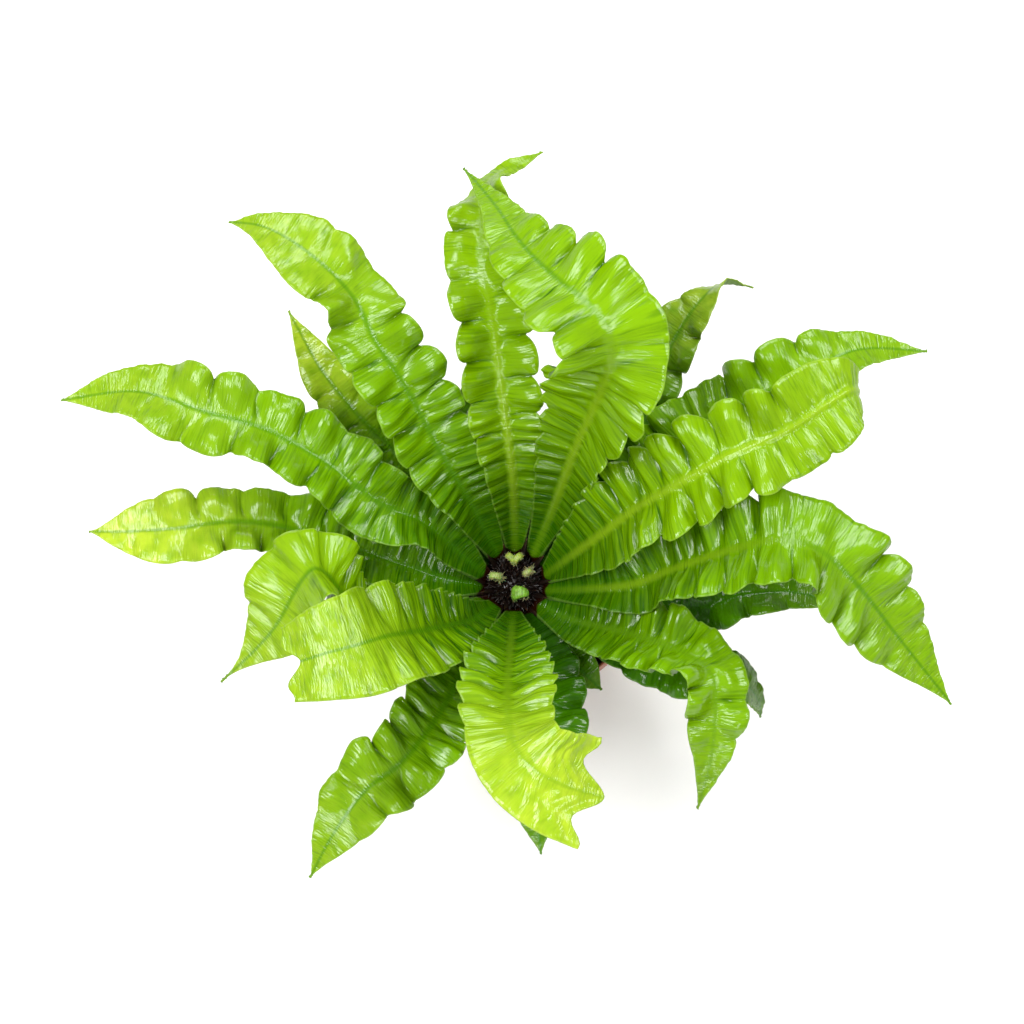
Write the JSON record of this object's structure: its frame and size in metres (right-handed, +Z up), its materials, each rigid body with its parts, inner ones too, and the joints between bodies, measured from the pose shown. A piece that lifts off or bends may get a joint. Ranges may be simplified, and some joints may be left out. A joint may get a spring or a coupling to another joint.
{
  "type": "crispy wave fern in a nursery pot",
  "caption": "Bird's nest fern with long strap fronds folded into crisp waves, spreading from one scaly crown in a small round nursery pot.",
  "frame": {"origin": "middle of the pot's flat base", "axes": "+Z up out of the pot; +X to the right and -Y towards the viewer in the picture"},
  "size_m": [0.4731, 0.3843, 0.3085],
  "materials": {
    "pot": "satin moulded plastic",
    "soil": "rough crumbly peat",
    "crown_scale": "papery dark scales",
    "crozier": "soft downy young growth",
    "blade_lime": "waxy gloss, sunlit",
    "blade_leaf": "waxy gloss",
    "blade_shade": "waxy gloss, in shade"
  },
  "bodies": {
    "root": {"nursery_pot": "pot", "potting_soil": "soil", "crown_rootstock": "crown_scale", "crozier_1": "crozier", "crozier_2": "crozier", "crozier_3": "crozier", "crozier_4": "crozier", "frond_west_upper": "blade_leaf", "frond_west_lower": "blade_leaf", "frond_southwest_arched": "blade_lime", "frond_southwest_broad": "blade_lime", "frond_south_southwest": "blade_leaf", "frond_south_crested": "blade_lime", "frond_south_lower": "blade_shade", "frond_rim_curled": "blade_shade", "frond_southeast": "blade_leaf", "frond_southeast_lower": "blade_shade", "frond_east_lower": "blade_shade", "frond_east_drooping": "blade_leaf", "frond_northeast_lower": "blade_lime", "frond_northeast_upper": "blade_leaf", "frond_back_twisted": "blade_shade", "frond_north_hooked": "blade_lime", "frond_north": "blade_lime", "frond_north_lower": "blade_shade", "frond_northwest": "blade_leaf", "frond_northwest_lower": "blade_leaf"}
  },
  "joints": []
}
